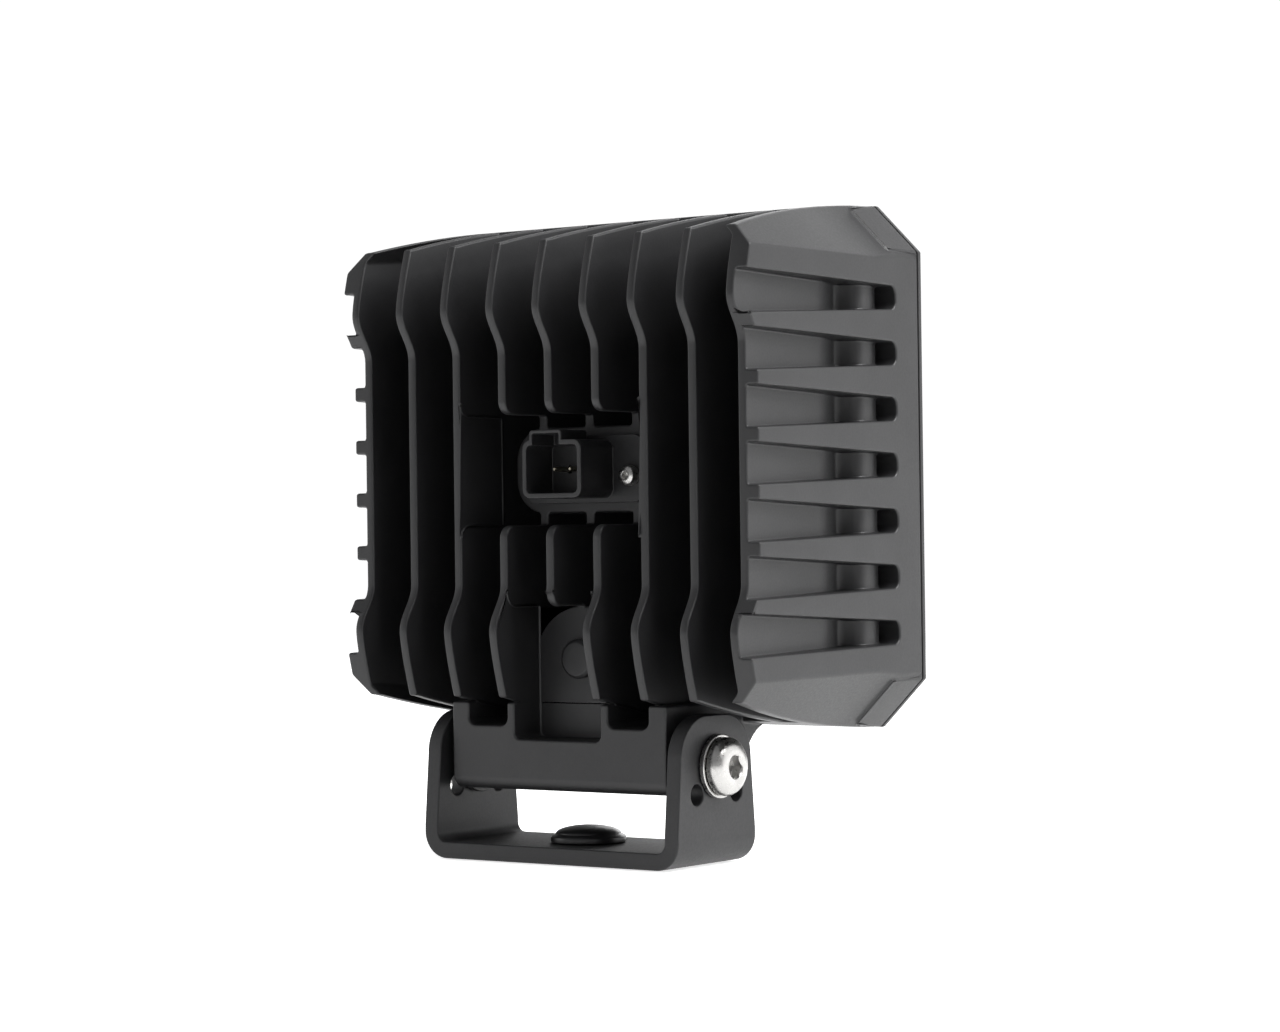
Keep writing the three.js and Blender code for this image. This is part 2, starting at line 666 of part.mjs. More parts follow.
// ---- driver in its bay behind the board -----------------------------------------------------
function driverBoard() {
  const sheet = alongY(rectangle(2 * bayHalfWidth - 2, 2 * bayHalfHeight - 1.6), driverDepth, driverDepth + 1.6);
  return sheet;
}
addPiece(lamp, "driver_board", driverBoard(), finishes.greenBoard);
addPiece(
  lamp, "driver_inductor",
  alongY(rectangle(11, 11, 2, -bayHalfWidth + 8, 0), driverFace - 7, driverFace), finishes.ferrite,
);
[-1, 1].forEach((s, i) => {
  const can = turned([[0, 0], [3.9, 0], [3.9, 7.6], [3.5, 8], [0, 8]], 16);
  addPiece(
    lamp, `driver_capacitor_${i + 1}`,
    placed(can, BACKWARD, bayHalfWidth - 6.5, -driverFace, s * 4.6), finishes.stainless,
  );
});

// ---- connector --------------------------------------------------------------------------------
const flangeFront = shellBackDepth;
const flangeBack = flangeFront - flangeThickness;

function connectorShell() {
  const outerKey = rectangle(keyWidth, keyHeight + 4, 1, keyOffset, shellHeight / 2 + keyHeight / 2 - 2);
  const innerKey = rectangle(keyWidth - 2, keyHeight + 4, 0.5, keyOffset, shellHeight / 2 + keyHeight / 2 - 3);
  const tube = alongY(rectangle(shellWidth, shellHeight, shellRadius), mouthDepth, flangeFront);
  const keyTube = alongY(outerKey, mouthDepth, mouthDepth + socketDepth);
  const flange = alongY(rectangle(flangeScrewSpacing + 9, shellHeight + 3, 4), flangeBack, flangeFront);
  const inside = [shellWidth - 2 * shellWall, shellHeight - 2 * shellWall, shellRadius - 1.2];
  const cutters = [
    alongY(rectangle(...inside), mouthDepth - 1, mouthDepth + socketDepth),
    alongY(innerKey, mouthDepth - 1, mouthDepth + socketDepth - 2),
  ];
  for (const s of [-1, 1]) {
    cutters.push(placed(cylinder(pinRadius + gap, flangeFront, 12), FORWARD, (s * pinPitch) / 2, -mouthDepth, 0));
    cutters.push(placed(cylinder(flangeScrew.shank + gap, 6, 12), FORWARD,
      (s * flangeScrewSpacing) / 2, -flangeBack + 1, -flangeScrewDrop));
  }
  return cut(join([tube, keyTube, flange]), cutters);
}
addPiece(lamp, "connector_shell", connectorShell(), finishes.blackPlastic);

const sealDepth = flangeFront + gap;
function connectorSeal() {
  const sheet = alongY(rectangle(flangeScrewSpacing + 9, shellHeight + 3, 4), sealDepth, sealDepth + 0.8);
  const cutters = [box(-pinPitch, pinPitch, sealDepth - 1, sealDepth + 2, -leadHole, leadHole)];
  for (const s of [-1, 1]) {
    cutters.push(placed(cylinder(flangeScrew.shank + gap, 4, 12), FORWARD,
      (s * flangeScrewSpacing) / 2, -sealDepth + 1, -flangeScrewDrop));
  }
  return cut(sheet, cutters);
}
addPiece(lamp, "connector_seal", connectorSeal(), finishes.rubber);

const pinTip = mouthDepth + 5.3;
const pinEnd = padDepth + 3;
[-1, 1].forEach((s, i) => {
  const pin = turned([
    [0, 0], [pinRadius * 0.5, 0], [pinRadius, 1], [pinRadius, pinEnd - pinTip], [0, pinEnd - pinTip],
  ], 12);
  addPiece(lamp, `contact_pin_${i + 1}`, placed(pin, FORWARD, (s * pinPitch) / 2, -pinTip, 0), finishes.brass);
  const lead = cylinder(0.9, driverFace - pinEnd - 2 * gap, 10);
  addPiece(
    lamp, i === 0 ? "supply_lead_negative" : "supply_lead_positive",
    placed(lead, FORWARD, (s * pinPitch) / 2, -(pinEnd + gap), 0),
    i === 0 ? finishes.blackWire : finishes.redWire,
  );
  addPiece(
    lamp, `connector_screw_${i + 1}`,
    placed(panScrew(flangeScrew), FORWARD,
      (s * flangeScrewSpacing) / 2, -(flangeBack - gap - flangeScrew.headHeight), -flangeScrewDrop),
    finishes.stainless,
  );
});

// ---- vent ---------------------------------------------------------------------------------------
const ventCap = turned([
  [0, 0], [5.2, 0], [6, 0.8], [6, 3], [ventHoleRadius - gap, 3], [ventHoleRadius - gap, 11],
  [1.2, 11], [1.2, 5], [0, 5],
], 18);
addPiece(
  lamp, "breather_vent",
  placed(ventCap, FORWARD, 0, -(ventBossDepth - gap - 3), ventZ), finishes.blackPlastic,
);

// ---- pivot fasteners ------------------------------------------------------------------------------
const earOuter = earInner + plate;
function pivotBolt() {
  const head = [[0, 0], [4.6, 0], [6.6, 0.8], [8, 2.1], [headRadius, headHeight - 1.3], [headRadius, headHeight]];
  const body = turned([...head, [boltRadius, headHeight], [boltRadius, headHeight + boltLength],
    [0, headHeight + boltLength]]);
  const socket = cylinder(hexAcross / Math.sqrt(3), 3.2, 6).translate([0, -0.1, 0]);
  return body.subtract(socket);
}
function ring(inner, outer, thickness) {
  return turned([[inner, 0], [outer, 0], [outer, thickness], [inner, thickness], [inner, 0]]);
}
for (const s of [-1, 1]) {
  const side = s < 0 ? "left" : "right";
  const inward = s < 0 ? ALONG_X : ALONG_MINUS_X;
  const washerFace = earOuter + gap + washerThickness;
  addPiece(
    lamp, `pivot_bolt_${side}`,
    placed(pivotBolt(), inward, s * (washerFace + gap + headHeight), pivotY, pivotZ), finishes.stainless,
  );
  addPiece(
    lamp, `pivot_washer_${side}`,
    placed(ring(boltRadius + gap, washerRadius, washerThickness), inward, s * washerFace, pivotY, pivotZ),
    finishes.stainless,
  );
  const innerFace = blockHalfWidth + gap + frictionWasher;
  addPiece(
    lamp, `friction_washer_${side}`,
    placed(ring(boltRadius + gap, 10.5, frictionWasher), inward, s * innerFace, pivotY, pivotZ),
    finishes.blackPlastic,
  );
}

// ---- bracket ----------------------------------------------------------------------------------------
function earOutline() {
  const [top, half, low] = [axisHeight + earTop, earWidth / 2, baseWidth / 2];
  const r = earCornerRadius;
  const s = new THREE.Shape();
  s.moveTo(-low, 0);
  s.lineTo(low, 0);
  s.lineTo(low, bendOuter + 2);
  s.lineTo(half, top - r);
  s.absarc(half - r, top - r, r, 0, Math.PI / 2, false);
  s.absarc(-half + r, top - r, r, Math.PI / 2, Math.PI, false);
  s.lineTo(-low, bendOuter + 2);
  return s;
}

function bracketPlate() {
  const [outer, inner, r] = [earOuter, earInner, bendOuter];
  const top = axisHeight + earTop + 5;
  const s = new THREE.Shape();
  s.moveTo(-outer, top);
  s.lineTo(-outer, r);
  s.absarc(-outer + r, r, r, Math.PI, 1.5 * Math.PI, false);
  s.lineTo(outer - r, 0);
  s.absarc(outer - r, r, r, -Math.PI / 2, 0, false);
  s.lineTo(outer, top);
  s.lineTo(inner, top);
  s.lineTo(inner, plate + bendInner);
  s.absarc(inner - bendInner, plate + bendInner, bendInner, 0, -Math.PI / 2, true);
  s.lineTo(-inner + bendInner, plate);
  s.absarc(-inner + bendInner, plate + bendInner, bendInner, -Math.PI / 2, -Math.PI, true);
  s.lineTo(-inner, top);
  const bent = alongY(s, -baseWidth, baseWidth).intersect(alongX(earOutline(), -outer - 1, outer + 1));
  const across = (radius, y, z) =>
    placed(cylinder(radius, 2 * outer + 4), ALONG_X, -outer - 2, y, z);
  return cut(bent, [
    across(boltRadius + gap, 0, axisHeight),
    across(sideHoleRadius, sideHoleSpacing / 2, axisHeight - sideHoleDrop),
    across(sideHoleRadius, -sideHoleSpacing / 2, axisHeight - sideHoleDrop),
    placed(cylinder(mountingHoleRadius, plate + 2), ALONG_Z, 0, 0, -1),
  ]);
}
addPiece(bracket, "u_bracket", bracketPlate(), finishes.steelBlack);

// Domed cap pressed into the mounting hole until the light is fitted.
const capRadius = 11.4;
const stem = mountingHoleRadius - gap;
const holeCap = turned([
  [0, 2.5], [stem - 1.2, 2.5], [stem - 1.2, -plate + 0.5], [stem, -plate + 0.5], [stem, gap],
  [capRadius, gap], [capRadius, 2], [9.6, 3], [6.8, 4.2], [3.6, 5], [0, 5.3],
]);
addPiece(bracket, "mounting_hole_cap", placed(holeCap, ALONG_Z, 0, 0, plate), finishes.blackPlastic);

export default root;
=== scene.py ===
import math

import bmesh
import bpy
from mathutils import Matrix, Vector


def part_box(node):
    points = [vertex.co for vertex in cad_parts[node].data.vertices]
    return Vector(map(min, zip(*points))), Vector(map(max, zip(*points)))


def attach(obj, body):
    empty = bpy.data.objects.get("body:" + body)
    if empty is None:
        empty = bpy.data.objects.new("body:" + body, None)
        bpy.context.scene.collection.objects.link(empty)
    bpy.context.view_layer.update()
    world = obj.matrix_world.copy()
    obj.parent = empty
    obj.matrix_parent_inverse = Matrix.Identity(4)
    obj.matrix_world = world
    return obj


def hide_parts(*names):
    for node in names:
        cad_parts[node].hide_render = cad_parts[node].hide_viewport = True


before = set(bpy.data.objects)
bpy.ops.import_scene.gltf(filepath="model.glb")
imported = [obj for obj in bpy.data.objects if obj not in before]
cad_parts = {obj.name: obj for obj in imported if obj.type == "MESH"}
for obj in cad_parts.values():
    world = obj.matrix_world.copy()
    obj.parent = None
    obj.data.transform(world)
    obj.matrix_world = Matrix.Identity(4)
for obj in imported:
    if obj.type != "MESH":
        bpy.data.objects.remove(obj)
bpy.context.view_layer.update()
scene = bpy.context.scene

# ---- Camera --------------------------------------------------------------------------------
# A long lens just above the height of the bracket, looking at the back and the left side of
# the lamp. It leans by under a degree, as a hand-set camera does.
CAMERA_AIM = Vector((-0.0222, 0.0020, 0.1031))
CAMERA_DISTANCE = 0.98
CAMERA_AZIMUTH = math.radians(216.01)
CAMERA_ELEVATION = math.radians(-0.335)
CAMERA_ROLL = math.radians(-0.739)

camera = bpy.data.objects.new("camera", bpy.data.cameras.new("camera"))
scene.collection.objects.link(camera)
camera.data.sensor_width = 36.0
camera.data.lens = 92.69
camera.data.clip_start = 0.01
camera.data.clip_end = 100.0
backward = Vector((
    math.sin(CAMERA_AZIMUTH) * math.cos(CAMERA_ELEVATION),
    -math.cos(CAMERA_AZIMUTH) * math.cos(CAMERA_ELEVATION),
    math.sin(CAMERA_ELEVATION),
))
level = Vector((math.cos(CAMERA_AZIMUTH), math.sin(CAMERA_AZIMUTH), 0.0))
upward = backward.cross(level)
turn = Matrix((level, upward, backward)).transposed() @ Matrix.Rotation(CAMERA_ROLL, 3, "Z")
camera.matrix_world = Matrix.Translation(CAMERA_AIM + backward * CAMERA_DISTANCE) @ turn.to_4x4()
scene.camera = camera


# ---- Studio --------------------------------------------------------------------------------
# A plain white floor under the bracket's base in front of a white surround. The surround lights
# the lamp far less than it shows, so that four soft boxes beside, above, in front of and behind it
# shape the casting. The floor shows in the lamp's sheen but adds nothing to its matt colour.
FLOOR_DROP = 0.0004
FLOOR_SIZE = 30.0

def noise_nodes(tree, scale, detail, stretch=(1.0, 1.0, 1.0)):
    place = tree.nodes.new("ShaderNodeTexCoord")
    spread = tree.nodes.new("ShaderNodeMapping")
    spread.inputs["Scale"].default_value = stretch
    noise = tree.nodes.new("ShaderNodeTexNoise")
    noise.inputs["Scale"].default_value = scale
    noise.inputs["Detail"].default_value = detail
    tree.links.new(place.outputs["Object"], spread.inputs["Vector"])
    tree.links.new(spread.outputs["Vector"], noise.inputs["Vector"])
    return noise.outputs["Fac"]

def spread_colour(tree, factor, low, high, start=0.35, end=0.65):
    ramp = tree.nodes.new("ShaderNodeValToRGB")
    ramp.color_ramp.elements[0].position = start
    ramp.color_ramp.elements[0].color = (*low, 1.0)
    ramp.color_ramp.elements[1].position = end
    ramp.color_ramp.elements[1].color = (*high, 1.0)
    tree.links.new(factor, ramp.inputs["Fac"])
    return ramp.outputs["Color"]

def spread_value(tree, factor, low, high):
    remap = tree.nodes.new("ShaderNodeMapRange")
    remap.inputs["From Min"].default_value = 0.3
    remap.inputs["From Max"].default_value = 0.7
    remap.inputs["To Min"].default_value = low
    remap.inputs["To Max"].default_value = high
    tree.links.new(factor, remap.inputs["Value"])
    return remap.outputs["Result"]

def finish(name, dark, light, rough, patch=(45.0, 5.0), grain=(1600.0, 2.0), grain_height=2e-5,
           stretch=(1.0, 1.0, 1.0), **sockets):
    """A surface whose colour and roughness drift in patches, with a fine grain on top."""
    material = bpy.data.materials.new(name)
    material.use_nodes = True
    tree = material.node_tree
    shader = tree.nodes["Principled BSDF"]
    patches = noise_nodes(tree, *patch, stretch)
    fine = noise_nodes(tree, *grain, stretch)
    tree.links.new(spread_colour(tree, patches, dark, light), shader.inputs["Base Color"])
    tree.links.new(spread_value(tree, fine, *rough), shader.inputs["Roughness"])
    bump = tree.nodes.new("ShaderNodeBump")
    bump.inputs["Strength"].default_value = 0.6
    bump.inputs["Distance"].default_value = grain_height
    tree.links.new(fine, bump.inputs["Height"])
    tree.links.new(bump.outputs["Normal"], shader.inputs["Normal"])
    for socket, value in sockets.items():
        shader.inputs[socket.replace("_", " ")].default_value = value
    return material

floor_finish = finish("studio_floor", (0.86, 0.86, 0.86), (0.9, 0.9, 0.9), (0.75, 0.85),
                      patch=(3.0, 3.0), grain=(250.0, 3.0), grain_height=1e-4,
                      Emission_Color=(1.0, 1.0, 1.0, 1.0), Emission_Strength=0.75)
floor_mesh = bmesh.new()
bmesh.ops.create_grid(floor_mesh, x_segments=4, y_segments=4, size=FLOOR_SIZE)
bmesh.ops.translate(floor_mesh, verts=floor_mesh.verts, vec=(0.0, 0.0, -FLOOR_DROP))
floor = bpy.data.objects.new("floor", bpy.data.meshes.new("floor"))
floor_mesh.to_mesh(floor.data)
floor.data.materials.append(floor_finish)
scene.collection.objects.link(floor)
floor.visible_diffuse = False

world = bpy.data.worlds.new("white_surround")
scene.world = world
world.use_nodes = True
sky = world.node_tree
shown = sky.nodes["Background"]
shown.inputs["Color"].default_value = (1.0, 1.0, 1.0, 1.0)
shown.inputs["Strength"].default_value = 1.05
place = sky.nodes.new("ShaderNodeTexCoord")
split = sky.nodes.new("ShaderNodeSeparateXYZ")
sky.links.new(place.outputs["Generated"], split.inputs["Vector"])
shade = sky.nodes.new("ShaderNodeValToRGB")
shade.color_ramp.elements[0].position = 0.0
shade.color_ramp.elements[0].color = (0.62, 0.62, 0.63, 1.0)
shade.color_ramp.elements[1].position = 0.85
shade.color_ramp.elements[1].color = (0.95, 0.95, 0.97, 1.0)
sky.links.new(split.outputs["Z"], shade.inputs["Fac"])
cast = sky.nodes.new("ShaderNodeBackground")
cast.inputs["Strength"].default_value = 0.42
sky.links.new(shade.outputs["Color"], cast.inputs["Color"])
rays = sky.nodes.new("ShaderNodeLightPath")
choice = sky.nodes.new("ShaderNodeMixShader")
sky.links.new(rays.outputs["Is Camera Ray"], choice.inputs["Fac"])
sky.links.new(cast.outputs["Background"], choice.inputs[1])
sky.links.new(shown.outputs["Background"], choice.inputs[2])
sky.links.new(choice.outputs["Shader"], sky.nodes["World Output"].inputs["Surface"])

def soft_box(name, place, target, width, height, watts):
    light = bpy.data.objects.new(name, bpy.data.lights.new(name, "AREA"))
    light.data.shape = "RECTANGLE"
    light.data.size = width
    light.data.size_y = height
    light.data.energy = watts
    light.location = place
    aim = Vector(target) - Vector(place)
    light.rotation_euler = aim.to_track_quat("-Z", "Y").to_euler()
    scene.collection.objects.link(light)

soft_box("side_box", (-1.15, -0.85, 0.35), (-0.08, 0.0, 0.12), 1.3, 1.3, 8.0)
soft_box("top_box", (-0.9, -0.2, 1.2), (0.0, 0.0, 0.1), 0.9, 0.9, 28.0)
soft_box("fin_box", (1.5, 0.75, 0.3), (0.0, 0.0, 0.12), 0.8, 1.4, 5.0)
soft_box("front_box", (0.5, -1.5, 0.7), (0.0, 0.0, 0.11), 1.0, 1.0, 8.0)
scene.view_settings.view_transform = "Standard"
scene.view_settings.look = "None"


# ---- Housing -------------------------------------------------------------------------------
# One die casting in aluminium with a satin black powder coat. Nine upright cooling fins stand
# behind the lamp chamber, seven slots are cored into each side, and the pivot block hangs below.
# Every edge that the die leaves is rounded by most of a millimetre.
MM = 0.001
FRONT_CHAMFER = 15.0
HOUSING_DEPTH = 81.4
SIDE_FLARE, TOP_FLARE = 4.25, 11.35
RIM_DEPTH, RIM_DRAFT = 14.5, 1.8
REAR_CORNER_CUT, CORNER_FLARE, CORNER_WALL = 21.7, 3.6, 4.0
FIN_DEPTH, FIN_TIP, FIN_ROOT = 42.0, 2.8, 3.6
GAPS_PER_SIDE = 4
FLAT_HALF, BULGE_HEIGHT, BULGE, CORNER_BULGE = 34.4, 49.0, 5.8, 1.2
SLOTS, SLOT_LENGTH, RIB_DEPTH = 7, 69.0, 4.1
SLOT_PITCH = (16.4, 16.75)
SLOT_HEIGHT = (12.1, 6.8)
SLOT_END_RADIUS = 2.6
POCKET_HALF, POCKET_RADIUS = 16.7, 4.0
PAD_DEPTH, PAD_WIDTH, PAD_HEIGHT = 20.5, 56.0, 26.0
BOSS_DEPTH, BOSS_TOP = 15.5, -41.0
CHAMBER_BACK, CHAMBER_WALL, LENS_LEDGE = 46.5, 5.4, 75.5
RIM_LAND, CORNER_LAND = 9.25, 14.0
BLOCK_HALF, BLOCK_BELOW, BLOCK_BACK, BLOCK_FRONT = 40.0, 8.3, 2.6, 46.5
CAST_EDGE = 0.7

def prism(outline, axis, low, high):
    """A solid with a flat outline, drawn along one axis."""
    order = {"x": (2, 0, 1), "y": (0, 2, 1), "z": (0, 1, 2)}[axis]
    solid = bmesh.new()
    ends = []
    for reach in (low, high):
        ring = []
        for a, b in outline:
            values = (a, b, reach)
            ring.append(solid.verts.new([values[i] for i in order]))
        solid.faces.new(ring)
        ends.append(ring)
    for i in range(len(outline)):
        solid.faces.new((ends[0][i - 1], ends[0][i], ends[1][i], ends[1][i - 1]))
    bmesh.ops.recalc_face_normals(solid, faces=solid.faces)
    return solid

def block(low, high):
    return prism([(low[0], low[1]), (high[0], low[1]), (high[0], high[1]), (low[0], high[1])],
                 "z", low[2], high[2])

def arc(centre, radius, start, end, steps=8):
    """Points along an arc, with both ends, angles in degrees."""
    points = []
    for i in range(steps + 1):
        angle = math.radians(start + (end - start) * i / steps)
        points.append((centre[0] + radius * math.cos(angle), centre[1] + radius * math.sin(angle)))
    return points

def rounded_rectangle(width, height, radius, centre=(0.0, 0.0), steps=8):
    x, y = centre
    a, b = width / 2 - radius, height / 2 - radius
    return (arc((x + a, y + b), radius, 0, 90, steps) + arc((x - a, y + b), radius, 90, 180, steps)
            + arc((x - a, y - b), radius, 180, 270, steps) + arc((x + a, y - b), radius, 270, 360, steps))

def chamfered_square(half_side, corner_sum):
    c = corner_sum - half_side
    return [(half_side, -c), (half_side, c), (c, half_side), (-c, half_side),
            (-half_side, c), (-half_side, -c), (-c, -half_side), (c, -half_side)]

def spun(profile, sides=48, quarter=0.0):
    """A turned solid on the y axis from (radius, y) points; ends with no radius close on it."""
    solid = bmesh.new()
    rings = []
    for radius, y in profile:
        if radius < 1e-9:
            rings.append([solid.verts.new((0.0, y, 0.0))])
            continue
        ring = []
        for i in range(sides):
            angle = 2 * math.pi * i / sides + quarter
            ring.append(solid.verts.new((radius * math.cos(angle), y, radius * math.sin(angle))))
        rings.append(ring)
    loop = rings + ([] if len(rings[0]) == 1 else [rings[0]])
    for near, far in zip(loop, loop[1:]):
        for i in range(sides):
            corners = [near[i - 1 if len(near) > 1 else 0], near[i if len(near) > 1 else 0],
                       far[i if len(far) > 1 else 0], far[i - 1 if len(far) > 1 else 0]]
            face = list(dict.fromkeys(corners))
            if len(face) > 2:
                solid.faces.new(face)
    bmesh.ops.recalc_face_normals(solid, faces=solid.faces)
    return solid

def moved(solid, place=(0.0, 0.0, 0.0), lie=None):
    """The solid turned so that its y axis lies along another axis, and then put in place."""
    turns = {"x": Matrix.Rotation(math.radians(-90), 4, "Z"), "-x": Matrix.Rotation(math.radians(90), 4, "Z"),
             "z": Matrix.Rotation(math.radians(90), 4, "X"), "-y": Matrix.Rotation(math.radians(180), 4, "Z")}
    turn = turns.get(lie, Matrix.Identity(4))
    bmesh.ops.transform(solid, matrix=Matrix.Translation(place) @ turn, verts=solid.verts)
    return solid

def as_object(solid, name="work"):
    mesh = bpy.data.meshes.new(name)
    solid.to_mesh(mesh)
    made = bpy.data.objects.new(name, mesh)
    scene.collection.objects.link(made)
    return made

def carved(base, *steps):
    """The base with solids joined to it, cut from it or kept in common with it, in turn."""
    target = as_object(base)
    tools = []
    for operation, solid in steps:
        tools.append(as_object(solid))
        change = target.modifiers.new(operation, "BOOLEAN")
        change.operation = operation
        change.solver = "MANIFOLD"
        change.object = tools[-1]
    bpy.context.view_layer.update()
    shaped = target.evaluated_get(bpy.context.evaluated_depsgraph_get())
    result = bmesh.new()
    result.from_mesh(shaped.to_mesh())
    for used in [target, *tools]:
        mesh = used.data
        bpy.data.objects.remove(used)
        bpy.data.meshes.remove(mesh)
    return result

JOIN, CUT, KEEP = "UNION", "DIFFERENCE", "INTERSECT"

def piece(solid, name, material, body, nodes, place=Matrix.Scale(MM, 4), edge=0.0, steps=2,
          sharp=30.0):
    """Cleans a solid, rounds its edges and puts it in the scene on a body, for the CAD nodes."""
    bmesh.ops.remove_doubles(solid, verts=solid.verts, dist=0.01)
    bmesh.ops.dissolve_limit(solid, angle_limit=math.radians(0.4), verts=solid.verts, edges=solid.edges)
    bmesh.ops.transform(solid, matrix=place, verts=solid.verts)
    for face in solid.faces:
        face.smooth = True
    made = as_object(solid, name)
    made.data.materials.append(material)
    if edge:
        bevel = made.modifiers.new("rounded_edges", "BEVEL")
        bevel.width = edge * MM
        bevel.segments = steps
        bevel.limit_method = "ANGLE"
        bevel.angle_limit = math.radians(sharp)
        bevel.use_clamp_overlap = False
        bevel.miter_outer = "MITER_ARC"
    level_faces = made.modifiers.new("level_faces", "WEIGHTED_NORMAL")
    level_faces.keep_sharp = True
    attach(made, body)
    if nodes:
        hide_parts(*nodes)
    return made

front_low, front_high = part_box("front_frame")
cast_low, cast_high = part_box("housing")
front_half = (front_high.x - front_low.x) / 2 / MM
# Sizes of the lamp are drawn in millimetres from the middle of the plane of the fin backs.
lamp_middle = Vector((0.0, cast_high.y - BULGE * MM, (front_low.z + front_high.z) / 2))
LAMP = Matrix.Translation(lamp_middle) @ Matrix.Scale(MM, 4)
pivot_y = (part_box("pivot_washer_left")[0].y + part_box("pivot_washer_left")[1].y) / 2
pivot_z = (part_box("pivot_washer_left")[0].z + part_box("pivot_washer_left")[1].z) / 2
pivot = LAMP.inverted() @ Vector((0.0, pivot_y, pivot_z))
half_width = front_half - SIDE_FLARE
half_height = front_half - TOP_FLARE
slot_floor = half_width - RIB_DEPTH
fin_pitch = (slot_floor - FIN_TIP / 2) / GAPS_PER_SIDE
corner_sum = 2 * front_half - FRONT_CHAMFER
rim_back = HOUSING_DEPTH - RIM_DEPTH

def flared(depth):
    reach = HOUSING_DEPTH * 1.17
    return (1 - (1 - max(depth, 0.0) / reach) ** 2) / (1 - (1 - 1 / 1.17) ** 2)

def bulge_at(z):
    z = abs(z)
    if z <= FLAT_HALF:
        return 0.0
    if z <= BULGE_HEIGHT:
        share = (z - FLAT_HALF) / (BULGE_HEIGHT - FLAT_HALF)
        return BULGE * (1 - math.cos(math.pi * min(share * 1.04, 1.0))) / 2
    share = (z - BULGE_HEIGHT) / (half_height - BULGE_HEIGHT)
    return BULGE - (BULGE - CORNER_BULGE) * share ** 1.35

depths = [HOUSING_DEPTH * i / 14 for i in range(15)]

def side_view():
    heights = [FLAT_HALF + (BULGE_HEIGHT - FLAT_HALF) * i / 12 for i in range(13)]
    heights += [BULGE_HEIGHT + (half_height - BULGE_HEIGHT) * i / 8 for i in range(1, 9)]
    upper = [(bulge_at(z), z) for z in heights]
    upper += [(-d, half_height + TOP_FLARE * flared(d)) for d in depths]
    return upper + [(y, -z) for y, z in reversed(upper)]

def plan_view():
    side = [(half_width, BULGE + 1)] + [(half_width + SIDE_FLARE * flared(d), -d) for d in depths]
    return side + [(-x, y) for x, y in reversed(side)]

def four_sided(profile, square):
    """|x| + |z| follows the profile's sizes, or |x| and |z| do when it is square."""
    grow, quarter = (math.sqrt(2), math.pi / 4) if square else (1.0, 0.0)
    points = [(size * grow, -d) for d, size in profile]
    return spun([(0.0, points[0][1]), *points, (0.0, points[-1][1])], 4, quarter)

def corner_trim(wall=0.0):
    """The cut corners swell into a cove where they meet the thicker rim."""
    first = 2 * front_half - REAR_CORNER_CUT - wall
    profile = [(-BULGE - 1, first)]
    for d in depths:
        size = first + CORNER_FLARE * flared(d)
        if d > rim_back - 9 and not wall:
            share = min((d - rim_back + 9) / 9, 1.0)
            size += (corner_sum - RIM_DRAFT - size) * share ** 2
        profile.append((d, size))
    return four_sided(profile, False)

def fin_gaps():
    gaps = bmesh.new()
    out, reach = BULGE + 2, 2 * front_half
    for i in range(2 * GAPS_PER_SIDE):
        x = (i - GAPS_PER_SIDE + 0.5) * fin_pitch
        back, deep = (fin_pitch - FIN_TIP) / 2, (fin_pitch - FIN_ROOT) / 2
        gap = prism([(x - back, out), (x - deep, -FIN_DEPTH), (x + deep, -FIN_DEPTH), (x + back, out)],
                    "z", -reach, reach)
        gap = carved(gap, (KEEP, corner_trim(CORNER_WALL)))
        mesh = bpy.data.meshes.new("gap")
        gap.to_mesh(mesh)
        gaps.from_mesh(mesh)
        bpy.data.meshes.remove(mesh)
    return gaps

def connector_pocket():
    out, h, r = BULGE + 2, POCKET_HALF, POCKET_RADIUS
    upper = [(out, h + r)] + arc((-r, h + r), r, 0, -90) + [(-PAD_DEPTH, h)]
    width = 2 * fin_pitch - FIN_TIP / 2
    return prism(upper + [(y, -z) for y, z in reversed(upper)], "x", -width, width)

def lower_pocket():
    out, r = BULGE + 2, POCKET_RADIUS
    outline = ([(out, BOSS_TOP + r)] + arc((-r, BOSS_TOP + r), r, 0, -90)
               + [(-BOSS_DEPTH, BOSS_TOP), (-BOSS_DEPTH, -2 * front_half), (out, -2 * front_half)])
    half = fin_pitch - FIN_TIP / 2
    return prism(outline, "x", -half, half)

def vent_boss():
    half = fin_pitch + FIN_TIP / 4
    outline = [(-half, -half_height - 2.4), (half, -half_height - 2.4)]
    outline += arc((0.0, BOSS_TOP - half), half, 0, 180, 24)
    return prism(outline, "y", -FIN_DEPTH - 1, -BOSS_DEPTH + 0.1)

